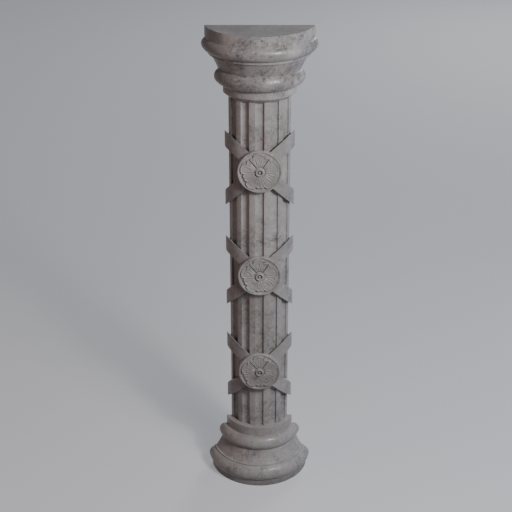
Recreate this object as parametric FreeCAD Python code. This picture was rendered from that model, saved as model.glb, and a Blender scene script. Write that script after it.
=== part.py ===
import FreeCAD, Part
import math
import os

# A flat-backed half column of pale marble: a round moulded base, a fluted shaft, a round
# moulded capital, and three crossed bands that pass over the flutes with a rosette on each
# crossing.  All sizes are in millimetres.  +Z is up, the rounded front faces -Y, and the
# flat back, which meets the wall, faces +Y.  The origin is under the middle of the piece.

# ---- overall sizes ----
base_height = 320.0
shaft_height = 1816.0
capital_height = 345.0
shaft_radius = 160.0
back_offset = 54.0        # the flat back is this far in front of the column's true axis

# ---- base, from the ground up; each projection is measured out from the shaft's ribs ----
plinth_projection = 104.5
plinth_height = 34.0
base_torus_projection = 121.0
base_torus_height = 83.0
base_fillet_projection = 91.5
base_fillet_height = 8.0
scotia_foot_projection = 82.0
scotia_head_projection = 48.0
scotia_height = 69.0
scotia_hollow = 1.5       # how far the scotia dips behind the straight line of its ends
upper_torus_projection = 64.5
upper_torus_head_projection = 42.0
upper_torus_height = 74.0
collar_projection = 25.0

# ---- capital, from the shaft up ----
chamfer_height = 21.0
neck_projection = 24.0
neck_height = 36.0
neck_torus_projection = 64.0
neck_torus_height = 81.0
bell_foot_projection = 45.5
bell_head_projection = 78.5
bell_height = 71.0
bell_hollow = 1.5
bell_fillet_projection = 90.5
bell_fillet_height = 12.0
top_torus_projection = 121.0
top_torus_height = 68.0
fascia_projection = 105.0

# ---- flutes ----
flute_count = 5
flute_pitch = 26.6        # degrees from one flute to the next
flute_angle = 15.4        # degrees that one flute's mouth takes up
flute_depth = 15.0        # at the middle of a flute
flute_wall = 9.0          # depth of its steep side walls

# ---- crossed bands ----
band_thickness = 18.5
band_width = 62.0
band_slope = 42.3         # degrees from level, seen from the front
band_dip = 0.307          # fall for each millimetre that a band runs back round the shaft
band_corner_radius = 25.0
lower_margin = 364.0      # from the shaft's foot up to the lowest crossing
upper_margin = 329.0      # from the highest crossing up to the shaft's head
places = ["lower", "middle", "upper"]

# ---- rosettes ----
rosette_radius = 108.0
rosette_face = 14.0       # the flat face stands this far in front of the bands
petal_count = 5
rosette_drop = 8.0        # the rosette sits this far below the crossing
rosette_turn = -3.0         # degrees the flower is turned from upright
rosette_rim = 11.0          # plain rim outside the petals
petal_gap = 4.0             # width of the groove between two petals
petal_shoulder_turn = 18.0  # degrees from a petal's middle to the shoulder of its middle lobe
petal_shoulder = 6.0        # how far in from the top of the middle lobe its shoulders lie
petal_notch_turn = 21.0     # degrees from a petal's middle to the notch beside its middle lobe
petal_notch = 18.0          # how far in the notches lie
petal_side_lobe = 12.0      # how far in the tops of the side lobes lie
petal_corner = 17.0         # how far in a petal's side corners lie
petal_relief = 5.0
button_radius = 20.0
button_relief = 11.0
root_depth = 1.0          # how far petals and button are rooted in the face behind them

# ---- clearance ----
seat_gap = 0.3            # bedding joint behind the bands and behind the rosettes

# ---- places worked out from the sizes ----
widest_radius = shaft_radius + max(base_torus_projection, top_torus_projection)
axis_y = (widest_radius + back_offset) / 2
back_y = axis_y - back_offset
shaft_top = base_height + shaft_height
band_radius = shaft_radius + seat_gap + band_thickness
total_height = shaft_top + capital_height


def rib_point(projection, z):
    """A point on the profile plane, at a projection out from the shaft's ribs."""
    return FreeCAD.Vector(shaft_radius + projection, axis_y, z)


def core_point(z):
    """A point on the column's axis."""
    return FreeCAD.Vector(0, axis_y, z)


def straight(points):
    """Straight edges from each point to the next."""
    return [Part.makeLine(a, b) for a, b in zip(points, points[1:])]


def swell(foot, head, projection):
    """An arc from foot to head that bulges out to a projection near its middle."""
    middle = rib_point(projection, (foot.z + head.z) / 2)
    return Part.Arc(foot, middle, head).toShape()


def hollow(foot, head, dip):
    """An arc from foot to head that curves in behind their straight line by dip."""
    chord = head - foot
    inward = FreeCAD.Vector(-abs(chord.z), 0, abs(chord.x) * (1 if chord.x > 0 else -1))
    middle = (foot + head) * 0.5 + inward.normalize() * dip
    return Part.Arc(foot, middle, head).toShape()


def cut_at_back(shape):
    """Keep only what stands in front of the flat back."""
    reach = 2 * widest_radius
    corner = FreeCAD.Vector(-reach, back_y - reach, 0)
    front = Part.makeBox(2 * reach, reach, total_height, corner)
    return shape.common(front)


def turned(edges):
    """A round moulding turned about the column's axis from a closed profile, cut at the back."""
    face = Part.Face(Part.Wire(edges))
    return cut_at_back(face.revolve(core_point(0), FreeCAD.Vector(0, 0, 1), 360))


def make_base():
    """Plinth, torus, fillet, scotia, second torus and a plain collar under the shaft."""
    z_torus = plinth_height
    z_fillet = z_torus + base_torus_height
    z_scotia = z_fillet + base_fillet_height
    z_upper = z_scotia + scotia_height
    z_collar = z_upper + upper_torus_height
    plinth_top = rib_point(plinth_projection, z_torus)
    fillet_foot = rib_point(base_fillet_projection, z_fillet)
    fillet_head = rib_point(base_fillet_projection, z_scotia)
    scotia_foot = rib_point(scotia_foot_projection, z_scotia)
    scotia_head = rib_point(scotia_head_projection, z_upper)
    torus_head = rib_point(upper_torus_head_projection, z_collar)
    collar_foot = rib_point(collar_projection, z_collar)
    collar_head = rib_point(collar_projection, base_height)
    edges = straight([core_point(0), rib_point(plinth_projection, 0), plinth_top])
    edges.append(swell(plinth_top, fillet_foot, base_torus_projection))
    edges += straight([fillet_foot, fillet_head, scotia_foot])
    edges.append(hollow(scotia_foot, scotia_head, scotia_hollow))
    edges.append(swell(scotia_head, torus_head, upper_torus_projection))
    top = core_point(base_height)
    edges += straight([torus_head, collar_foot, collar_head, top, core_point(0)])
    return turned(edges)


def make_capital():
    """Chamfer, neck, torus, hollow bell, fillet, large torus and a plain fascia."""
    z_neck = shaft_top + chamfer_height
    z_torus = z_neck + neck_height
    z_bell = z_torus + neck_torus_height
    z_fillet = z_bell + bell_height
    z_top_torus = z_fillet + bell_fillet_height
    z_fascia = z_top_torus + top_torus_height
    neck_foot = rib_point(neck_projection, z_neck)
    torus_foot = rib_point(neck_projection, z_torus)
    bell_foot = rib_point(bell_foot_projection, z_bell)
    bell_head = rib_point(bell_head_projection, z_fillet)
    fillet_foot = rib_point(bell_fillet_projection, z_fillet)
    fillet_head = rib_point(bell_fillet_projection, z_top_torus)
    fascia_foot = rib_point(fascia_projection, z_fascia)
    fascia_head = rib_point(fascia_projection, total_height)
    edges = straight([core_point(shaft_top), rib_point(0, shaft_top), neck_foot, torus_foot])
    edges.append(swell(torus_foot, bell_foot, neck_torus_projection))
    edges.append(hollow(bell_foot, bell_head, bell_hollow))
    edges += straight([bell_head, fillet_foot, fillet_head])
    edges.append(swell(fillet_head, fascia_foot, top_torus_projection))
    edges += straight([fascia_foot, fascia_head, core_point(total_height), core_point(shaft_top)])
    return turned(edges)


def make_shaft():
    """A plain drum with flutes cut down its whole length, steep at the sides and hollow in the middle."""
    shaft = Part.makeCylinder(shaft_radius, shaft_height, core_point(base_height))
    half_mouth = math.radians(flute_angle / 2)
    outside = shaft_radius + flute_depth

    def at(turn, reach):
        return FreeCAD.Vector(reach * math.sin(turn), axis_y - reach * math.cos(turn), base_height)

    for number in range(flute_count):
        turn = math.radians((number - (flute_count - 1) / 2) * flute_pitch)
        left, right = turn - half_mouth, turn + half_mouth
        left_foot = at(left, shaft_radius - flute_wall)
        right_foot = at(right, shaft_radius - flute_wall)
        edges = [
            Part.makeLine(at(left, outside), left_foot),
            Part.Arc(left_foot, at(turn, shaft_radius - flute_depth), right_foot).toShape(),
            Part.makeLine(right_foot, at(right, outside)),
            Part.makeLine(at(right, outside), at(left, outside)),
        ]
        flute = Part.Face(Part.Wire(edges)).extrude(FreeCAD.Vector(0, 0, shaft_height))
        shaft = shaft.cut(flute)
    return cut_at_back(shaft)


def rounded_outline(corners):
    """A closed flat outline through (point, radius) corners, with tangent arcs at the rounded ones."""
    count = len(corners)
    entries = []
    for i, (corner, radius) in enumerate(corners):
        to_last = (corners[i - 1][0] - corner).normalize()
        to_next = (corners[(i + 1) % count][0] - corner).normalize()
        if radius == 0:
            entries.append((corner, None, corner))
            continue
        half = to_last.getAngle(to_next) / 2
        reach = radius / math.tan(half)
        bisector = (to_last + to_next).normalize()
        nearest = corner + bisector * (radius / math.sin(half) - radius)
        entries.append((corner + to_last * reach, nearest, corner + to_next * reach))
    edges = []
    for i, (start, middle, end) in enumerate(entries):
        if middle is not None:
            edges.append(Part.Arc(start, middle, end).toShape())
        edges.append(Part.makeLine(end, entries[(i + 1) % count][0]))
    return Part.Wire(edges)


def make_slanted_bar(side, height):
    """A straight bar across the front, rising towards one side, pushed back through the shaft."""
    rise = math.tan(math.radians(band_slope))
    half_end = band_width / 2 / math.cos(math.radians(band_slope))
    end_x = math.sqrt(band_radius ** 2 - back_offset ** 2)
    stand_off = 2 * band_thickness
    start_y = axis_y - band_radius - stand_off
    level = height + band_dip * stand_off

    def corner(x, across):
        return FreeCAD.Vector(side * x, start_y, level + rise * x + across)

    outline = rounded_outline([
        (corner(end_x, half_end), 0),
        (corner(end_x, -half_end), band_corner_radius),
        (corner(-end_x, -half_end), 0),
        (corner(-end_x, half_end), band_corner_radius),
    ])
    push = band_radius + stand_off
    return Part.Face(outline).extrude(FreeCAD.Vector(0, push, -band_dip * push))


def make_crossed_band(height):
    """Two bands that cross on the front of the shaft and lie on its ribs as far as the back."""
    sleeve = Part.makeCylinder(band_radius, total_height, core_point(0))
    sleeve = sleeve.cut(Part.makeCylinder(shaft_radius + seat_gap, total_height, core_point(0)))
    cross = make_slanted_bar(1, height).fuse(make_slanted_bar(-1, height))
    return cut_at_back(sleeve.common(cross)).removeSplitter()


def front_disc(radius, height, front, depth):
    """A round disc facing forward, from its front plane back through its depth."""
    centre = FreeCAD.Vector(0, front, height)
    return Part.makeCylinder(radius, depth, centre, FreeCAD.Vector(0, 1, 0))


def make_petal(turn, height, front):
    """One petal in low relief, a wide middle lobe between two lower ones, its point under the button."""
    half = math.pi / petal_count
    shoulder_turn = math.radians(petal_shoulder_turn)
    notch_turn = math.radians(petal_notch_turn)
    side_shift = petal_gap / 2
    lobe_reach = rosette_radius - rosette_rim

    def at(angle, reach, shift=0.0):
        x = reach * math.sin(angle) - shift * math.cos(angle)
        z = reach * math.cos(angle) + shift * math.sin(angle)
        spun_x = x * math.cos(turn) + z * math.sin(turn)
        spun_z = z * math.cos(turn) - x * math.sin(turn)
        return FreeCAD.Vector(spun_x, front - petal_relief, height + spun_z)

    root = at(0, side_shift / math.sin(half))
    shoulders = []
    edges = []
    for side in (-1, 1):
        corner = at(side * half, lobe_reach - petal_corner, side * side_shift)
        side_lobe = at(side * (half + notch_turn) / 2, lobe_reach - petal_side_lobe)
        notch = at(side * notch_turn, lobe_reach - petal_notch)
        shoulders.append(at(side * shoulder_turn, lobe_reach - petal_shoulder))
        edges += [
            Part.makeLine(root, corner),
            Part.Arc(corner, side_lobe, notch).toShape(),
            Part.makeLine(notch, shoulders[-1]),
        ]
    edges.append(Part.Arc(shoulders[0], at(0, lobe_reach), shoulders[1]).toShape())
    outline = Part.Wire(Part.__sortEdges__(edges))
    return Part.Face(outline).extrude(FreeCAD.Vector(0, petal_relief + root_depth, 0))


def make_rosette(height):
    """A round boss over the crossing, with five petals and a domed button."""
    front = axis_y - band_radius - seat_gap - rosette_face
    boss = front_disc(rosette_radius, height, front, band_radius)
    for number in range(petal_count):
        turn = math.radians(rosette_turn) + number * 2 * math.pi / petal_count
        boss = boss.fuse(make_petal(turn, height, front))
    button = front_disc(button_radius, height, front - button_relief, button_relief + root_depth)
    front_edge = min(button.Edges, key=lambda edge: edge.CenterOfMass.y)
    boss = boss.fuse(button.makeFillet(button_relief / 2, [front_edge]))
    seat = Part.makeCylinder(band_radius + seat_gap, total_height, core_point(0))
    boss = cut_at_back(boss.cut(seat))
    return max(boss.removeSplitter().Solids, key=lambda solid: solid.Volume)


def save(name, shape):
    """Write one node as its own STEP file."""
    solid = max(shape.Solids, key=lambda piece: piece.Volume)
    solid.exportStep(os.path.join("parts", name + ".step"))
    print(name, len(shape.Solids), "solid", round(solid.Volume / 1e6, 2), "litres", solid.isValid())


os.makedirs("parts", exist_ok=True)
save("base", make_base())
save("shaft", make_shaft())
save("capital", make_capital())
crossing_spacing = (shaft_height - lower_margin - upper_margin) / (len(places) - 1)
for number, place in enumerate(places):
    crossing_height = base_height + lower_margin + number * crossing_spacing
    save("crossed_band_" + place, make_crossed_band(crossing_height))
    save("rosette_" + place, make_rosette(crossing_height - rosette_drop))
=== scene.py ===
import math

import bpy
import numpy as np
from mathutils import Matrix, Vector, noise


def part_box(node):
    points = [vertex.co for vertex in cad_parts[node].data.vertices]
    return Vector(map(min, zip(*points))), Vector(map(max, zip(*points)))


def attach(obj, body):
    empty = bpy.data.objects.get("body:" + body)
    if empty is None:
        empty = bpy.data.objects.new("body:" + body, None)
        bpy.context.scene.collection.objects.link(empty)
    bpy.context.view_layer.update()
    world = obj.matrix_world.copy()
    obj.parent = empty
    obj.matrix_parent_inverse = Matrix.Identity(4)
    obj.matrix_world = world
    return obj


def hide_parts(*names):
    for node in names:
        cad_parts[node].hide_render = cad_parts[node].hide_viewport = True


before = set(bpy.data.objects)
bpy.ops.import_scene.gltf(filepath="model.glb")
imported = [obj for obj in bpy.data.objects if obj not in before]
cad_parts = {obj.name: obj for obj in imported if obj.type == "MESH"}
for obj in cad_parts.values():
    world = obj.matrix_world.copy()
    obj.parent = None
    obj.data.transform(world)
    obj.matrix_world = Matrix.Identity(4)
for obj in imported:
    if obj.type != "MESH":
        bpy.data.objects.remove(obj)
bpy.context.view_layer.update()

# A flat-backed half column of veined marble: moulded base, fluted shaft, moulded capital, and
# three crossed bands over the flutes with a petalled rosette on each crossing.  Sizes are in
# millimetres, as on the mason's drawing, and places come from the frame.

MM = 0.001


# ---- overall sizes, read back from the frame ----

def box_mm(node):
    """The lowest and highest corner of a node, in millimetres."""
    low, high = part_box(node)
    return [value / MM for value in low], [value / MM for value in high]


def middle_height(node):
    """The height of a node's middle, in millimetres."""
    low, high = box_mm(node)
    return (low[2] + high[2]) / 2


base_low, base_high = box_mm("base")
capital_low, capital_high = box_mm("capital")
base_half_width, back_y, base_height = base_high
base_depth = back_y - base_low[1]
back_offset = (base_half_width ** 2 / base_depth - base_depth) / 2
axis_y = back_y + back_offset          # the axis of every moulding lies behind the flat back
shaft_half_width = box_mm("shaft")[1][0]
shaft_radius = math.hypot(shaft_half_width, back_offset)
shaft_top = capital_low[2]
total_height = capital_high[2]

# ---- base, from the ground up; each projection is measured out from the shaft's ribs ----
plinth_projection = 104.5
plinth_height = 34.0
base_torus_projection = 121.0
base_torus_height = 83.0
base_fillet_projection = 91.5
base_fillet_height = 8.0
scotia_foot_projection = 82.0
scotia_head_projection = 48.0
scotia_height = 69.0
scotia_hollow = 1.5
upper_torus_projection = 64.5
upper_torus_head_projection = 42.0
upper_torus_height = 74.0
collar_projection = 25.0

# ---- capital, from the shaft up ----
chamfer_height = 21.0
neck_projection = 24.0
neck_height = 36.0
neck_torus_projection = 64.0
neck_torus_height = 81.0
bell_foot_projection = 45.5
bell_head_projection = 78.5
bell_height = 71.0
bell_hollow = 1.5
bell_fillet_projection = 90.5
bell_fillet_height = 12.0
top_torus_projection = 121.0
top_torus_height = 68.0
fascia_projection = 105.0

# Where a bed meets the next stone or ends the capital, its rings stop here and one face fills it.
bed_projection = 2 * back_offset - shaft_radius

# ---- flutes ----
flute_count = 5
flute_pitch = math.radians(26.6)
flute_angle = math.radians(15.4)
flute_depth = 15.0
flute_wall = 9.0

# ---- crossed bands ----
seat_gap = 0.3
band_thickness = 18.5
band_width = 62.0
band_slope = math.radians(42.3)
band_dip = 0.307          # how far a band drops for each millimetre that it runs back
band_corner_radius = 25.0
band_arris = 2.2
band_arris_rows = 3
band_arris_turn = math.radians(50)    # only edges sharper than this are rounded
band_inner = shaft_radius + seat_gap
band_outer = band_inner + band_thickness
band_climb = math.tan(band_slope)
band_end_x = math.sqrt(band_outer ** 2 - back_offset ** 2)

# ---- rosettes ----
rosette_radius = 108.0
rosette_face = 14.0       # how far the rim's face stands out from the bands
rosette_arris = 3.2
rosette_drop = 8.0        # the rosette sits this far below the crossing
rosette_turn = math.radians(-3.0)
rosette_rim = 11.0
petal_count = 5
petal_half = math.pi / petal_count
petal_gap = 5.4
petal_shoulder_turn = math.radians(18.0)
petal_shoulder = 6.0
petal_shoulder_round = 0.03           # radians before the shoulder where it starts to turn down
petal_notch_turn = math.radians(21.0)
petal_notch = 18.0
petal_side_lobe = 12.0
petal_side_sweep = math.pi * 0.9      # how much of a half wave a side lobe's edge follows
petal_relief = 5.0
petal_ground = 4.5        # how far the ground round the petals is sunk below the rim
button_radius = 20.0
button_relief = 11.0

# ---- carving on the petals; each pair is where a rise starts and where it is complete ----
petal_wall = (-0.8, 1.6)              # in from the petal's outer edge
groove_wall = (-petal_gap / 2, 1.2)   # in from the petal's side
upper_grooves = (0.1, 0.5)            # cosine of the turn from the top: these are cut deepest
lower_groove_share = 0.25
edge_slant = 0.9                      # a slanted edge is nearer than it is straight outwards
petal_floor_share = 0.62
lip_share = 0.28
lip_inset = 3.0
lip_width = 2.4
cup_depth = 1.5
cup_along = (24.0, 70.0)
cup_across = (3.0, 14.0)
crease_depth = 3.4
crease_width = 2.0
crease_inner = (44.0, 50.0)
crease_outer = (72.0, 66.0)
vein_height = 1.8
veins_to_a_petal = 6
vein_wander = 0.6
vein_wave = 15.0
vein_inner = (20.0, 30.0)
vein_outer = (50.0, 84.0)
vein_margin = (1.0, 8.0)
vein_faintest = 0.35
eye_depth = 4.0                       # the groove round the button
eye_radius = 25.5
eye_width = 3.0
rim_wall = (rosette_radius - rosette_rim - 1.5, rosette_radius - rosette_rim + 3.0)
ring_radius = 16.2
ring_width = 4.6
ring_height = button_relief - 0.5
dome_radius = 2.5
dome_width = 4.4
dome_height = button_relief - 2.0
button_wall = (button_radius + 0.5, button_radius + 4.0)

# ---- wear ----
softening = 0.7           # how far the mason's arrises have worn round
rib_softening = softening * 0.7
unevenness = 0.5          # gentle hollows and swells left by the chisel and by wear
swell_size = 90.0
swell_level = 0.6         # a wave of this height leaves the surface where it is
chip_depth = 2.4
chip_size = 13.0
small_chip_size = 5.0
small_chip_share = 0.5
chipped_stretch = 110.0
chipped_stretch_share = 0.7
chip_threshold = 0.42     # higher leaves fewer chips
chip_turn = math.radians(6)   # an outline that turns this much at a point is a full arris there
back_chip_share = 0.6
carving_wear = 0.45
carving_wear_size = 14.0
carving_wear_level = 0.25     # how far the whole carving is set back, so no wear stands proud
fractal = (1.0, 2.0, 3)   # the fall-off, size ratio and number of the noise's layers

# ---- how fine the meshes are ----
arc_step = 1.0            # between the points of an arc as it is drawn
worn_step = 0.5           # between the points of an outline while it is worn
rib_worn_step = 0.25
outline_step = 4.5        # between the points of an outline as it is meshed, where it is straight
moulding_turn = 9         # degrees that a meshed moulding turns between points
rib_turn = 12             # degrees that a meshed flute turns between points
moulding_columns = 201    # odd, so that one runs down the middle
shaft_row = 8.0
section_turn = math.radians(0.05)
band_lanes = 13
band_stations = 46
band_corner_start = 0.93  # share of half a band before the closer stations at its corner
band_corner_stations = 12
band_corner_crowding = 1.5
rosette_spokes = 420
petal_rings = 92
arris_rings = 6
unworn_rings = 2          # of the arris rings
arris_first_share = 0.2   # how far round the rosette's arris its first ring lies
wall_rings = 9
seat_rings = 20
first_ring = 0.6          # radius of the ring at the middle of a rosette's face
last_ring = 2.0           # and at the middle of its seat
smooth_angle_limit = 40   # degrees past which an edge is shown as a sharp arris
carving_smooth_angle = 55

# ---- marble; a cloud's scale is in repeats to the metre ----
grey = (0.35, 0.325, 0.315, 1.0)
bone = (0.60, 0.575, 0.57, 1.0)
cream = (0.50, 0.435, 0.39, 1.0)
umber = (0.14, 0.12, 0.122, 1.0)
chalk = (0.78, 0.76, 0.76, 1.0)
# The next two colours are painted shade: the first darkens hollows and creases, the second the foot of
# the base.
hollow_shade_colour = (0.10, 0.08, 0.065, 1.0)
foot_shade_colour = (0.12, 0.10, 0.09, 1.0)
drift_scale = 3.0
drift_reach = 0.16        # metres that the veining wanders
broad_scale = 3.0
patch_scale = 12.0
mottle_scale = 48.0
fine_scale = 170.0
seam_scale = 5.0
thread_width = 0.035
cluster_scale = 6.5
smudge_scale = 30.0
chalk_scale = 26.0
chalk_region_scale = 5.8
pit_scale = 120.0
pitted_region_scale = 60.0
# Painted shade: hollows and creases are darkened within this reach of an inner corner.
hollow_shade_reach = 0.014        # metres from an inner corner
# Painted shade: the foot is darkened from the ground up to this height.
foot_shade_height = 0.075     # metres above the ground
capital_foot = ((shaft_top - 16.0) * MM, (shaft_top + 14.0) * MM)   # busier veining from here up
# Painted light: faces that look up lose most of their dark veining, so tops read lighter.
facing_up = (0.7, 0.95)   # a face that looks up this squarely loses most of its veining
relief_depth = 0.0012     # metres


# ---------------------------------------------------------------- meshes

def new_mesh(name, points, faces, smooth_angle=smooth_angle_limit):
    """An object from points in millimetres, smooth except across its sharp arrises."""
    mesh = bpy.data.meshes.new(name)
    mesh.from_pydata([tuple(p) for p in np.asarray(points) * MM], [], faces)
    mesh.validate()
    mesh.update()
    piece = bpy.data.objects.new(name, mesh)
    bpy.context.scene.collection.objects.link(piece)
    mesh.shade_smooth()
    mesh.set_sharp_from_angle(angle=math.radians(smooth_angle))
    return piece


def arc(start, middle, end):
    """Points along the circle through three flat points, without the first one."""
    (ax, ay), (bx, by), (cx, cy) = start, middle, end
    divisor = 2 * (ax * (by - cy) + bx * (cy - ay) + cx * (ay - by))
    a2, b2, c2 = ax * ax + ay * ay, bx * bx + by * by, cx * cx + cy * cy
    ux = (a2 * (by - cy) + b2 * (cy - ay) + c2 * (ay - by)) / divisor
    uy = (a2 * (cx - bx) + b2 * (ax - cx) + c2 * (bx - ax)) / divisor
    radius = math.hypot(ax - ux, ay - uy)
    first = math.atan2(ay - uy, ax - ux)
    mid = (math.atan2(by - uy, bx - ux) - first) % (2 * math.pi)
    last = (math.atan2(cy - uy, cx - ux) - first) % (2 * math.pi)
    if mid > last:
        last -= 2 * math.pi
    count = max(3, round(abs(last) * radius / arc_step))
    turns = first + last * np.arange(1, count + 1) / count
    return [(ux + radius * math.cos(t), uy + radius * math.sin(t)) for t in turns]


def swell(start, end, projection):
    """An arc from start to end that bulges to a projection halfway up."""
    return arc(start, (projection, (start[1] + end[1]) / 2), end)


def hollow(start, end, dip):
    """An arc from start to end that curves in towards the core by dip."""
    across, up = end[0] - start[0], end[1] - start[1]
    length = math.hypot(across, up)
    middle = ((start[0] + end[0]) / 2 - up / length * dip,
              (start[1] + end[1]) / 2 + across / length * dip)
    return arc(start, middle, end)


def resampled(points, distance, count):
    """The same flat line with that many points, spread evenly over a rising measure along it."""
    spots = np.linspace(0, distance[-1], count)
    return np.stack([np.interp(spots, distance, points[:, k]) for k in (0, 1)], axis=1)


def walk(points, step):
    """The same open line, with points at an even step along it."""
    points = np.asarray(points, float)
    lengths = np.hypot(*np.diff(points, axis=0).T)
    along = np.concatenate([[0], np.cumsum(lengths)])
    return resampled(points, along, max(2, round(along[-1] / step) + 1))


def worn(points, rounding, step):
    """A line whose arrises and creases are worn round, its two ends left where they were."""
    fine = walk(points, step)
    reach = int(4 * rounding / step)
    kernel = np.exp(-0.5 * (np.arange(-reach, reach + 1) * step / rounding) ** 2)
    kernel /= kernel.sum()
    before = 2 * fine[0] - fine[reach:0:-1]
    after = 2 * fine[-1] - fine[-2:-reach - 2:-1]
    padded = np.concatenate([before, fine, after])
    return np.stack([np.convolve(padded[:, k], kernel, "valid") for k in (0, 1)], axis=1)


def thinned(points, turn_degrees):
    """Fewer points on a fine line: one each step, and more where it turns."""
    sides = np.diff(points, axis=0)
    lengths = np.hypot(*sides.T)
    headings = np.unwrap(np.arctan2(sides[:, 1], sides[:, 0]))
    turning = np.abs(np.diff(headings, append=headings[-1]))
    weights = lengths / outline_step + turning / math.radians(turn_degrees)
    along = np.concatenate([[0], np.cumsum(weights)])
    return resampled(points, along, round(along[-1]) + 1)


def headings_and_arrises(line):
    """The direction along a line at each point, and from 0 to 1 how sharp an arris stands there."""
    slopes = np.gradient(line, axis=0)
    slopes /= np.maximum(1e-9, np.hypot(slopes[:, 0], slopes[:, 1]))[:, None]
    bend = np.gradient(np.unwrap(np.arctan2(slopes[:, 1], slopes[:, 0])))
    return slopes, np.clip(bend / chip_turn, 0, 1)


def grid_faces(rows, columns, closed=False):
    """Quads between the points of a grid, row after row."""
    faces = []
    for i in range(rows - 1):
        here, above = i * columns, (i + 1) * columns
        for j in range(columns if closed else columns - 1):
            k = (j + 1) % columns
            faces.append((here + j, here + k, above + k, above + j))
    return faces


def flipped(faces):
    """The same faces, turned to look the other way."""
    return [tuple(reversed(face)) for face in faces]


def back_turn(radius):
    """The turn from the front at which a circle about the axis meets the flat back."""
    return np.arccos(back_offset / radius)


def surface_wear(points, outward, edge, free, seed):
    """The free points moved in: chisel unevenness everywhere, and chips on the arrises."""
    moved = points.copy()
    shift = Vector((seed, seed * 0.37, seed * 0.71))
    for i in range(len(points)):
        if not free[i]:
            continue
        spot = Vector(points[i])
        wave = noise.fractal(spot / swell_size + shift, *fractal)
        cut = unevenness * (wave - swell_level)
        if edge[i] > 0:
            bite = noise.noise(spot / chip_size - shift)
            bite += small_chip_share * noise.noise(spot / small_chip_size + shift)
            stretch = chipped_stretch_share * noise.noise(spot / chipped_stretch + shift * 2)
            cut -= chip_depth * edge[i] * max(0.0, bite + stretch - chip_threshold)
        moved[i] += outward[i] * cut
    return moved


def half_drum(name, points, outward, edge, free, seed):
    """A worn half drum from a grid of rows round its front, closed flat at the back and ends."""
    rows, columns = points.shape[:2]
    moved = surface_wear(points.reshape(-1, 3), outward.reshape(-1, 3), edge.ravel(), free.ravel(), seed)
    faces = grid_faces(rows, columns)
    for i in range(rows - 1):
        near, far = i * columns, (i + 1) * columns
        faces.append((near + columns - 1, near, far, far + columns - 1))
    faces.append(tuple(range(columns - 1, -1, -1)))
    faces.append(tuple(range((rows - 1) * columns, rows * columns)))
    return new_mesh(name, moved, faces)


def turned_stone(name, profile, seed):
    """A round moulding with a flat back, from a profile of (projection, height) points."""
    line = thinned(worn(profile, softening, worn_step), moulding_turn)
    line[0], line[-1] = profile[0], profile[-1]
    radii = shaft_radius + line[:, 0]
    slopes, arrises = headings_and_arrises(line)
    shares = np.linspace(-1, 1, moulding_columns)
    turns = back_turn(radii)[:, None] * shares[None, :]
    x = radii[:, None] * np.sin(turns)
    y = axis_y - radii[:, None] * np.cos(turns)
    z = np.repeat(line[:, 1:2], moulding_columns, axis=1)
    points = np.stack([x, y, z], axis=2)
    outward = np.stack([np.sin(turns) * slopes[:, 1:2], -np.cos(turns) * slopes[:, 1:2],
                        np.repeat(-slopes[:, 0:1], moulding_columns, axis=1)], axis=2)
    free = np.ones(turns.shape, bool)
    free[[0, -1], :] = False
    free[:, [0, -1]] = False
    edge = np.repeat(arrises[:, None], moulding_columns, axis=1)
    edge[:, [1, -2]] = back_chip_share
    return half_drum(name, points, outward, edge, free, seed)


def base_profile():
    """Plinth, torus, fillet, scotia, second torus and a plain collar under the shaft."""
    z_torus = plinth_height
    z_fillet = z_torus + base_torus_height
    z_scotia = z_fillet + base_fillet_height
    z_upper = z_scotia + scotia_height
    z_collar = z_upper + upper_torus_height
    line = [(plinth_projection, 0.0), (plinth_projection, z_torus)]
    line += swell(line[-1], (base_fillet_projection, z_fillet), base_torus_projection)
    line += [(base_fillet_projection, z_scotia), (scotia_foot_projection, z_scotia)]
    line += hollow(line[-1], (scotia_head_projection, z_upper), scotia_hollow)
    line += swell(line[-1], (upper_torus_head_projection, z_collar), upper_torus_projection)
    line += [(collar_projection, z_collar), (collar_projection, base_height)]
    line += [(bed_projection, base_height)]
    return line


def capital_profile():
    """Chamfer, neck, torus, hollow bell, fillet, large torus and a plain fascia."""
    z_neck = shaft_top + chamfer_height
    z_torus = z_neck + neck_height
    z_bell = z_torus + neck_torus_height
    z_fillet = z_bell + bell_height
    z_top_torus = z_fillet + bell_fillet_height
    z_fascia = z_top_torus + top_torus_height
    line = [(bed_projection, shaft_top), (0.0, shaft_top), (neck_projection, z_neck)]
    line += [(neck_projection, z_torus)]
    line += swell(line[-1], (bell_foot_projection, z_bell), neck_torus_projection)
    line += hollow(line[-1], (bell_head_projection, z_fillet), bell_hollow)
    line += [(bell_fillet_projection, z_fillet), (bell_fillet_projection, z_top_torus)]
    line += swell(line[-1], (fascia_projection, z_fascia), top_torus_projection)
    line += [(fascia_projection, total_height), (bed_projection, total_height)]
    return line


def shaft_section():
    """Half a round section with an odd number of flutes, from the left back corner to the right."""
    half_mouth = flute_angle / 2
    foot = shaft_radius - flute_wall
    half_chord = foot * math.sin(half_mouth)
    below_chord = foot * math.cos(half_mouth) - (shaft_radius - flute_depth)
    flute_radius = (half_chord ** 2 + below_chord ** 2) / (2 * below_chord)
    flute_centre = shaft_radius - flute_depth + flute_radius
    last_turn = back_turn(shaft_radius)
    line = []
    for turn in np.arange(-last_turn, last_turn, section_turn):
        nearest = round(turn / flute_pitch) * flute_pitch
        away = turn - nearest
        radius = shaft_radius
        if abs(away) < half_mouth and abs(nearest) < flute_pitch * flute_count / 2:
            across = flute_centre * math.sin(away)
            radius = flute_centre * math.cos(away) - math.sqrt(flute_radius ** 2 - across ** 2)
        line.append((radius * math.sin(turn), -radius * math.cos(turn)))
    return [(-shaft_half_width, -back_offset)] + line + [(shaft_half_width, -back_offset)]


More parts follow.
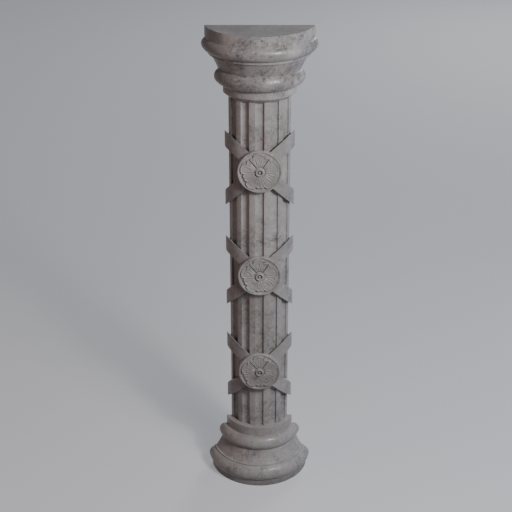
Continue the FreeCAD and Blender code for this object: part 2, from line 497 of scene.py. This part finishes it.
def fluted_shaft(name, seed):
    """The fluted half drum, its rib arrises worn and a little chipped."""
    section = shaft_section()
    line = thinned(worn(section, rib_softening, rib_worn_step), rib_turn)
    line[0], line[-1] = section[0], section[-1]
    if len(line) % 2 == 0:
        line = np.delete(line, len(line) // 2, axis=0)
    slopes, arrises = headings_and_arrises(line)
    rows = round((shaft_top - base_height) / shaft_row) + 1
    columns = len(line)
    points = np.empty((rows, columns, 3))
    points[:, :, 0] = line[None, :, 0]
    points[:, :, 1] = axis_y + line[None, :, 1]
    points[:, :, 2] = np.linspace(base_height, shaft_top, rows)[:, None]
    outward = np.zeros((rows, columns, 3))
    outward[:, :, 0] = slopes[None, :, 1]
    outward[:, :, 1] = -slopes[None, :, 0]
    free = np.ones((rows, columns), bool)
    free[:, [0, -1]] = False
    edge = np.repeat(arrises[None, :], rows, axis=0)
    return half_drum(name, points, outward, edge, free, seed)


def band_lower_edge(x):
    """How far a rising band's lower edge lies below its middle line, round its corner too."""
    half_end = band_width / 2 / math.cos(band_slope)
    corner_tangent = band_corner_radius / math.tan(math.pi / 4 + band_slope / 2)
    start = band_end_x - corner_tangent * math.cos(band_slope)
    if x <= start:
        return -half_end
    centre_x = band_end_x - band_corner_radius
    centre_z = -half_end + band_climb * start
    centre_z += math.sqrt(band_corner_radius ** 2 - (start - centre_x) ** 2)
    below_centre = math.sqrt(max(0.0, band_corner_radius ** 2 - (x - centre_x) ** 2))
    return centre_z - below_centre - band_climb * x


def band_turns():
    """The turns at which a band's outer face has stations, closer together near its two corners."""
    last = back_turn(band_outer)
    even = np.linspace(0, last * band_corner_start, band_stations)[:-1]
    close = np.linspace(1, 0, band_corner_stations) ** band_corner_crowding
    half = np.concatenate([even, last * (1 - (1 - band_corner_start) * close)])
    return np.concatenate([-half[:0:-1], half])


def band_strip(name, side, height):
    """One slanted band bent round the shaft, its obtuse corners rounded."""
    turns = band_turns()
    layers = []
    for radius in (band_outer, band_inner):
        layer = np.empty((len(turns), band_lanes, 3))
        share = back_turn(radius) / back_turn(band_outer)
        for i, turn in enumerate(turns):
            x = radius * math.sin(turn * share)
            y = -radius * math.cos(turn * share)
            front_x = band_outer * math.sin(turn)
            low = band_lower_edge(front_x)
            high = -band_lower_edge(-front_x)
            middle = height + band_climb * x - band_dip * (y + band_outer)
            layer[i, :, 0] = side * x
            layer[i, :, 1] = axis_y + y
            layer[i, :, 2] = middle + np.linspace(low, high, band_lanes)
        layers.append(layer.reshape(-1, 3))
    count = len(layers[0])
    front = grid_faces(len(turns), band_lanes)
    faces = flipped(front) + [tuple(i + count for i in face) for face in front]
    rim = list(range(0, count, band_lanes))
    rim += list(range(count - band_lanes + 1, count))
    rim += list(range(count - band_lanes - 1, 0, -band_lanes))
    rim += list(range(band_lanes - 2, -1, -1))
    faces += [(b, a, a + count, b + count) for a, b in zip(rim, rim[1:])]
    return new_mesh(name, np.concatenate(layers), flipped(faces) if side < 0 else faces)


def apply_modifiers(piece):
    """Makes the piece's modifiers part of its mesh."""
    graph = bpy.context.evaluated_depsgraph_get()
    mesh = bpy.data.meshes.new_from_object(piece.evaluated_get(graph))
    piece.modifiers.clear()
    piece.data = mesh


def crossed_band(name, height):
    """Two bands joined into one cross, with worn arrises."""
    piece = band_strip(name, 1, height)
    other = band_strip(name + "_other", -1, height)
    join = piece.modifiers.new("join", "BOOLEAN")
    join.operation = "UNION"
    join.solver = "EXACT"
    join.object = other
    apply_modifiers(piece)
    bpy.data.objects.remove(other)
    soften = piece.modifiers.new("soften", "BEVEL")
    soften.width = band_arris * MM
    soften.segments = band_arris_rows
    soften.limit_method = "ANGLE"
    soften.angle_limit = band_arris_turn
    apply_modifiers(piece)
    piece.data.shade_smooth()
    piece.data.set_sharp_from_angle(angle=math.radians(smooth_angle_limit))
    return piece


def rise(value, low, high):
    """0 at low, 1 at high, and a smooth rise between."""
    share = np.clip((value - low) / (high - low), 0, 1)
    return share * share * (3 - 2 * share)


def ridge(value, width, power=2):
    """1 where the value is 0, falling away over about that width."""
    return np.exp(-(value / width) ** power)


def petal_reach(away):
    """How far out a petal's edge lies, at a turn away from the petal's middle line.

    The wide middle lobe ends at a notch on each side, and a lower lobe follows.
    """
    lobe_reach = rosette_radius - rosette_rim
    middle = lobe_reach - petal_shoulder * (away / petal_shoulder_turn) ** 2
    notch = lobe_reach - petal_notch
    to_notch = rise(away, petal_shoulder_turn - petal_shoulder_round, petal_notch_turn)
    share = np.clip((away - petal_notch_turn) / (petal_half - petal_notch_turn), 0, 1)
    side = notch + (petal_notch - petal_side_lobe) * np.sin(share * petal_side_sweep)
    return np.where(away < petal_notch_turn, middle * (1 - to_notch) + notch * to_notch, side)


def petal_veins(radius, turn, away, inside):
    """Fine veins that run out along each petal, stronger in some places than in others."""
    wander = vein_wander * np.sin(radius / vein_wave + 3 * turn)
    lines = np.cos(away * petal_count * veins_to_a_petal + wander)
    beat = 0.5 + 0.5 * np.cos(3 * turn + 1.0) * np.cos(7 * turn)
    strength = vein_faintest + (1 - vein_faintest) * beat
    lines = lines * strength * rise(inside, *vein_margin)
    return lines * rise(radius, *vein_inner) * (1 - rise(radius, *vein_outer))


def petal_surface(radius, turn, away, inside):
    """Height of a petal's face: a raised lip, a shallow cup, a crease and veins."""
    lip = ridge(inside - lip_inset, lip_width)
    cup = rise(radius, *cup_along) * rise(inside, *cup_across)
    crease = ridge(radius * np.sin(np.abs(away)), crease_width)
    crease = crease * rise(radius, *crease_inner) * rise(radius, *crease_outer)
    veins = petal_veins(radius, turn, away, inside)
    eye = ridge(radius - eye_radius, eye_width)
    height = petal_relief * (petal_floor_share + lip_share * lip) - cup_depth * cup
    return height - crease_depth * crease + vein_height * veins - eye_depth * eye


def button_surface(radius):
    """Height of the button: a ring with a small dome inside it."""
    ring = ridge(radius - ring_radius, ring_width, 6) * ring_height
    dome = ridge(radius - dome_radius, dome_width, 4) * dome_height
    return np.maximum(ring, dome)


def rosette_relief(radius, turn):
    """Height of the carving in front of the plain rim, at a radius and a turn from the top."""
    turn = turn - rosette_turn
    away = (turn + petal_half) % (2 * petal_half) - petal_half
    to_edge = (petal_reach(np.abs(away)) - radius) * edge_slant
    to_side = radius * np.sin(np.maximum(0, petal_half - np.abs(away))) - petal_gap / 2
    inside = np.minimum(to_edge, to_side + petal_gap)
    cut = lower_groove_share + (1 - lower_groove_share) * rise(np.cos(turn), *upper_grooves)
    petal = rise(to_edge, *petal_wall) * (rise(to_side, *groove_wall) * cut + 1 - cut)
    ground = -petal_ground * (1 - rise(radius, *rim_wall))
    height = ground * (1 - petal) + petal_surface(radius, turn, away, inside) * petal
    outside = rise(radius, *button_wall)
    return button_surface(radius) * (1 - outside) + height * outside


def rosette_rings(middle):
    """Rings of points from the middle of the face out to the rim and back to the middle of the seat.

    It also gives how many of them, from the first, carry the carving's wear.
    """
    turns = np.arange(rosette_spokes) * 2 * math.pi / rosette_spokes
    seat = band_outer + seat_gap
    front = axis_y - seat - rosette_face
    face_end = rosette_radius - rosette_arris
    arris = np.sin(np.linspace(arris_first_share, 1, arris_rings) * math.pi / 2)
    face_radii = np.concatenate([np.linspace(first_ring, face_end, petal_rings),
                                 rosette_radius - rosette_arris * (1 - arris)])
    rings = []
    for radius in face_radii:
        past = max(0.0, radius - face_end)
        drop = rosette_arris - math.sqrt(max(0.0, rosette_arris ** 2 - past ** 2))
        y = front - rosette_relief(np.full(rosette_spokes, radius), turns) + drop
        rings.append(np.stack([radius * np.sin(turns), y, middle + radius * np.cos(turns)], axis=1))
    wall_top = rings[-1][:, 1]
    rim_x = rosette_radius * np.sin(turns)
    rim_z = middle + rosette_radius * np.cos(turns)
    rim_y = axis_y - np.sqrt(seat ** 2 - rim_x ** 2)
    for share in np.linspace(0, 1, wall_rings)[1:]:
        rings.append(np.stack([rim_x, wall_top * (1 - share) + rim_y * share, rim_z], axis=1))
    for radius in np.linspace(rosette_radius, last_ring, seat_rings)[1:]:
        x = radius * np.sin(turns)
        y = axis_y - np.sqrt(seat ** 2 - x ** 2)
        rings.append(np.stack([x, y, middle + radius * np.cos(turns)], axis=1))
    return np.stack(rings), len(face_radii) - unworn_rings


def rosette(name, node, seed):
    """A round boss with five three-lobed petals, a ring and a dome, on a seat bent to the bands."""
    middle = middle_height(node)
    grid, carved = rosette_rings(middle)
    count, columns = grid.shape[:2]
    points = grid.reshape(-1, 3)
    shift = Vector((seed, 0, -seed))
    for i in range(columns * carved):
        wave = noise.fractal(Vector(points[i]) / carving_wear_size + shift, *fractal)
        points[i][1] += carving_wear * wave + carving_wear_level
    points = np.concatenate([points, [[0, points[0][1], middle],
                                      [0, axis_y - band_outer - seat_gap, middle]]])
    faces = grid_faces(count, columns, closed=True)
    front_tip, seat_tip = len(points) - 2, len(points) - 1
    last = (count - 1) * columns
    for j in range(columns):
        k = (j + 1) % columns
        faces.append((j, k, front_tip))
        faces.append((last + k, last + j, seat_tip))
    return new_mesh(name, points, faces, smooth_angle=carving_smooth_angle)


# ---------------------------------------------------------------- marble

class Value:
    """One output of a shader node, so that shader maths reads as plain arithmetic."""

    def __init__(self, shader, socket):
        self.shader = shader
        self.socket = socket

    def maths(self, operation, first, second):
        """A Math node of that operation on two values or numbers."""
        return self.shader.node("ShaderNodeMath", {"operation": operation}, {0: first, 1: second})

    def __add__(self, other):
        return self.maths("ADD", self, other)

    def __sub__(self, other):
        return self.maths("SUBTRACT", self, other)

    def __rsub__(self, other):
        return self.maths("SUBTRACT", other, self)

    def __mul__(self, other):
        return self.maths("MULTIPLY", self, other)

    __radd__ = __add__
    __rmul__ = __mul__


class Shader:
    """A material's nodes, made one at a time."""

    def __init__(self, name):
        self.material = bpy.data.materials.new(name)
        self.material.use_nodes = True
        self.nodes = self.material.node_tree.nodes
        self.links = self.material.node_tree.links
        self.finish = self.nodes["Principled BSDF"]

    def node(self, kind, settings=None, inputs=None, output=0):
        """A node of that kind, with its settings made first and then its sockets filled."""
        made = self.nodes.new(kind)
        for key, value in (settings or {}).items():
            setattr(made, key, value)
        self.fill(made, inputs or {})
        return Value(self, made.outputs[output])

    def fill(self, made, inputs):
        """Links or sets the sockets of a node."""
        for key, value in inputs.items():
            if isinstance(value, Value):
                self.links.new(value.socket, made.inputs[key])
            else:
                made.inputs[key].default_value = value

    def rise(self, value, low, high):
        """0 up to low, 1 from high on, and a smooth rise between."""
        return self.node("ShaderNodeMapRange", {"interpolation_type": "SMOOTHSTEP"},
                         {0: value, 1: low, 2: high, 3: 0.0, 4: 1.0})

    def cloud(self, spot, scale, detail=4.0, roughness=0.55, distortion=0.0, output=0):
        """Soft noise from 0 to 1 that averages about a half; output 1 is its colour."""
        return self.node("ShaderNodeTexNoise", {},
                         {"Vector": spot, "Scale": scale, "Detail": detail,
                          "Roughness": roughness, "Distortion": distortion}, output)

    def vector(self, operation, inputs):
        """A Vector Math node."""
        return self.node("ShaderNodeVectorMath", {"operation": operation}, inputs)

    def up(self, vector):
        """The upright part of a vector."""
        return self.node("ShaderNodeSeparateXYZ", {}, {0: vector}, 2)

    def blend(self, share, first, second):
        """Two colours mixed: 6 and 7 are the mix node's colour sockets, and output 2 its colour."""
        return self.node("ShaderNodeMix", {"data_type": "RGBA", "blend_type": "MIX"},
                         {0: share, 6: first, 7: second}, 2)


def clouded_ground(shader, broad, patch, mottle):
    """The marble's ground colour: grey and bone in broad clouds, with cream patches and a mottle."""
    colour = shader.blend(shader.rise(broad, 0.38, 0.62) * 0.7 + 0.15, grey, bone)
    colour = shader.blend(shader.rise(patch, 0.45, 0.70) * 0.5, colour, cream)
    colour = shader.blend(shader.rise(mottle, 0.46, 0.62) * 0.35, colour, grey)
    return shader.blend(shader.rise(mottle, 0.48, 0.36) * 0.4, colour, bone)


def dark_veining(shader, spot, bent, fine, level):
    """Threads, smudges and grains that gather in clusters, busiest on the capital's mouldings and faded
    on faces that look up, as painted light.
    """
    seams = shader.cloud(bent, seam_scale, 8.0, 0.66, 0.9)
    off_seam = shader.node("ShaderNodeMath", {"operation": "ABSOLUTE"}, {0: seams - 0.5})
    thread = 1 - shader.rise(off_seam, 0.0, thread_width)
    capital = shader.rise(level, *capital_foot)
    cluster = shader.cloud(spot, cluster_scale, 3.0, 0.5, 0.4) + 0.025 * capital
    cluster = shader.rise(cluster, 0.45, 0.59) * (0.6 + 0.25 * capital)
    smudge = shader.rise(shader.cloud(bent, smudge_scale, 7.0, 0.78, 0.5), 0.49, 0.62)
    grain = shader.rise(fine, 0.46, 0.62)
    dark = thread * (cluster * 0.35 + 0.08) + smudge * (cluster * 0.65 + 0.06)
    dark = dark + grain * (cluster * 0.5 + 0.08)
    # Painted light: up-facing faces lose most of the dark veining, so tops read lighter as if lit from
    # above.
    face = shader.up(shader.node("ShaderNodeNewGeometry", {}, {}, "Normal"))
    return dark * (1 - 0.8 * shader.rise(face, *facing_up))


def chalk_marks(shader, spot, bent):
    """Bright marks that come in a few regions only."""
    marks = shader.rise(shader.cloud(bent, chalk_scale, 6.0, 0.75, 0.4), 0.56, 0.68)
    return marks * shader.rise(shader.cloud(spot, chalk_region_scale, 2.0, 0.5), 0.54, 0.66)


def pitting(shader, spot):
    """Small round pits, in some places only."""
    away = shader.node("ShaderNodeTexVoronoi", {"feature": "F1"},
                       {"Vector": spot, "Scale": pit_scale})
    region = shader.rise(shader.cloud(spot, pitted_region_scale, 2.0), 0.52, 0.6)
    return (1 - shader.rise(away, 0.1, 0.32)) * region


def marble(name, shift, vein_share):
    """Veined, softly polished marble, with painted shade in its hollows and along its foot, tops painted
    lighter, and pale, rubbed arrises.
    """
    shader = Shader(name)
    here = shader.node("ShaderNodeTexCoord", {}, {}, "Object")
    level = shader.up(here)
    spot = shader.vector("ADD", {0: here, 1: shift})
    drift = shader.cloud(spot, drift_scale, 3.0, 0.5, 0.0, 1)
    bent = shader.vector("ADD", {0: spot, 1: shader.vector("SCALE", {0: drift, "Scale": drift_reach})})
    broad = shader.cloud(spot, broad_scale, 5.0, 0.6, 0.6)
    patch = shader.cloud(spot, patch_scale, 6.0, 0.62, 0.5)
    mottle = shader.cloud(bent, mottle_scale, 6.0, 0.72, 0.3)
    fine = shader.cloud(spot, fine_scale, 4.0, 0.65)

    dark = dark_veining(shader, spot, bent, fine, level)
    pits = pitting(shader, spot)
    # Painted shade: darker where ambient occlusion finds a hollow or crease, in patchy strength; there
    # it also dulls the coat and roughens the surface.
    shut_in = shader.node("ShaderNodeAmbientOcclusion", {"samples": 8}, {"Distance": hollow_shade_reach}, "AO")
    hollow_shade = (1 - shader.rise(shut_in, 0.2, 0.82)) * (patch * 0.9 + 0.4)
    # Painted shade on the plinth and the foot of the lower torus, darker towards the ground and patchy
    # in strength.
    foot_shade = (1 - shader.rise(level, 0.0, foot_shade_height)) * (patch * 0.7 + 0.35)
    sharp = shader.node("ShaderNodeNewGeometry", {}, {}, "Pointiness")
    rubbed = shader.rise(sharp, 0.515, 0.56) * shader.rise(patch, 0.3, 0.6)

    colour = clouded_ground(shader, broad, patch, mottle)
    colour = shader.blend(chalk_marks(shader, spot, bent) * 0.75, colour, chalk)
    colour = shader.blend(dark * vein_share, colour, umber)
    colour = shader.blend(pits * 0.35, colour, umber)
    # Painted shade in hollows and creases.
    colour = shader.blend(hollow_shade * 0.55, colour, hollow_shade_colour)
    # Painted shade along the foot.
    colour = shader.blend(foot_shade * 0.6, colour, foot_shade_colour)
    colour = shader.blend(rubbed * 0.4, colour, bone)

    roughness = 0.30 + 0.14 * broad + 0.14 * mottle + 0.2 * hollow_shade
    relief = fine * 0.35 + mottle * 0.5 + patch * 0.4 - pits * 0.8 - dark * 0.25
    normal = shader.node("ShaderNodeBump", {},
                         {"Strength": 0.35, "Distance": relief_depth, "Height": relief})
    shader.fill(shader.finish, {"Base Color": colour, "Roughness": roughness, "Normal": normal,
                                "Specular IOR Level": 0.5, "IOR": 1.5,
                                "Coat Weight": 0.28 - 0.25 * hollow_shade, "Coat Roughness": 0.16})
    return shader.material


# ---------------------------------------------------------------- assembly

# Each finish is cut from its own part of the same block.
finishes = {
    "marble": marble("marble_veined", (5.2, 1.3, 2.7), 0.95),
    "marble_bands": marble("marble_band_stone", (4.1, 2.2, 0.1), 1.0),
    "marble_rosettes": marble("marble_rosette_stone", (7.3, 1.1, 3.4), 0.55),
}


def set_stone(piece, node, finish):
    """The piece stands for a node, moves with the stone and takes that finish."""
    piece.data.materials.clear()
    piece.data.materials.append(finishes[finish])
    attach(piece, "root")
    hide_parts(node)


set_stone(turned_stone("base_stone", base_profile(), 3.1), "base", "marble")
set_stone(fluted_shaft("shaft_stone", 11.7), "shaft", "marble")
set_stone(turned_stone("capital_stone", capital_profile(), 23.9), "capital", "marble")
for number, level in enumerate(("lower", "middle", "upper")):
    crossing = middle_height("rosette_" + level) + rosette_drop
    band = crossed_band("crossed_band_stone_" + level, crossing)
    set_stone(band, "crossed_band_" + level, "marble_bands")
    boss = rosette("rosette_stone_" + level, "rosette_" + level, 5.0 * number)
    set_stone(boss, "rosette_" + level, "marble_rosettes")


# ---------------------------------------------------------------- floor, light and camera
# From here on, places and sizes are in metres.

floor_edge = ((34, 0), (38, 0.6), (42, 2.4), (45, 5.4), (47, 9.4), (48, 14), (48, 40))
floor_sides = 64


def plain_floor():
    """A plain pale floor that curves up far behind the view, all round."""
    line = np.array(floor_edge)
    turns = np.arange(floor_sides) * 2 * math.pi / floor_sides
    grid = np.stack([np.outer(line[:, 0], np.cos(turns)), np.outer(line[:, 0], np.sin(turns)),
                     np.repeat(line[:, 1:2], floor_sides, axis=1)], axis=2)
    faces = [tuple(range(floor_sides))]
    faces += flipped(grid_faces(len(line), floor_sides, closed=True))
    piece = new_mesh("studio_floor", grid.reshape(-1, 3) / MM, faces)
    shader = Shader("studio_floor_paint")
    shader.fill(shader.finish, {"Base Color": (0.70, 0.70, 0.71, 1.0), "Roughness": 0.9,
                                "Emission Color": (0.9, 0.92, 1.0, 1.0), "Emission Strength": 0.26})
    piece.data.materials.append(shader.material)
    piece.visible_diffuse = False


def lamp(name, spot, aim_height, colour, power, size):
    """A soft square lamp at a spot, turned towards the column at that height."""
    light = bpy.data.lights.new(name, "AREA")
    light.color = colour
    light.energy = power
    light.size = size
    holder = bpy.data.objects.new(name, light)
    holder.location = spot
    holder.visible_camera = False
    away = Vector(spot) - Vector((0, 0, aim_height))
    holder.rotation_euler = away.to_track_quat("Z", "Y").to_euler()
    bpy.context.scene.collection.objects.link(holder)


key_spot = (1.95, -2.65, 3.60)
key_white = (0.985, 0.98, 1.0)

plain_floor()
lamp("key_lamp", key_spot, 1.4, key_white, power=48, size=0.4)
lamp("soft_key_lamp", key_spot, 1.4, key_white, power=66, size=1.8)
lamp("side_lamp", (3.4, 1.2, 1.0), 0.8, (0.45, 0.62, 1.0), power=12, size=1.6)
lamp("fill_lamp", (-3.6, -1.6, 2.0), 1.3, (1.0, 0.50, 0.26), power=11, size=1.6)
lamp("back_lamp", (5.0, 10.2, 6.0), 1.2, (0.95, 0.97, 1.0), power=320, size=4.0)

world = bpy.data.worlds.new("studio_air")
bpy.context.scene.world = world
world.use_nodes = True
world.node_tree.nodes["Background"].inputs["Color"].default_value = (0.80, 0.85, 1.0, 1.0)
world.node_tree.nodes["Background"].inputs["Strength"].default_value = 0.035

camera = bpy.data.objects.new("camera", bpy.data.cameras.new("camera"))
camera.data.lens = 81.16
camera.data.sensor_width = 36.0
camera.data.clip_end = 200.0
camera.location = (-0.018, -5.182, 3.870)
camera.rotation_euler = (math.radians(63.98), 0.0, 0.0)
bpy.context.scene.collection.objects.link(camera)
bpy.context.scene.camera = camera
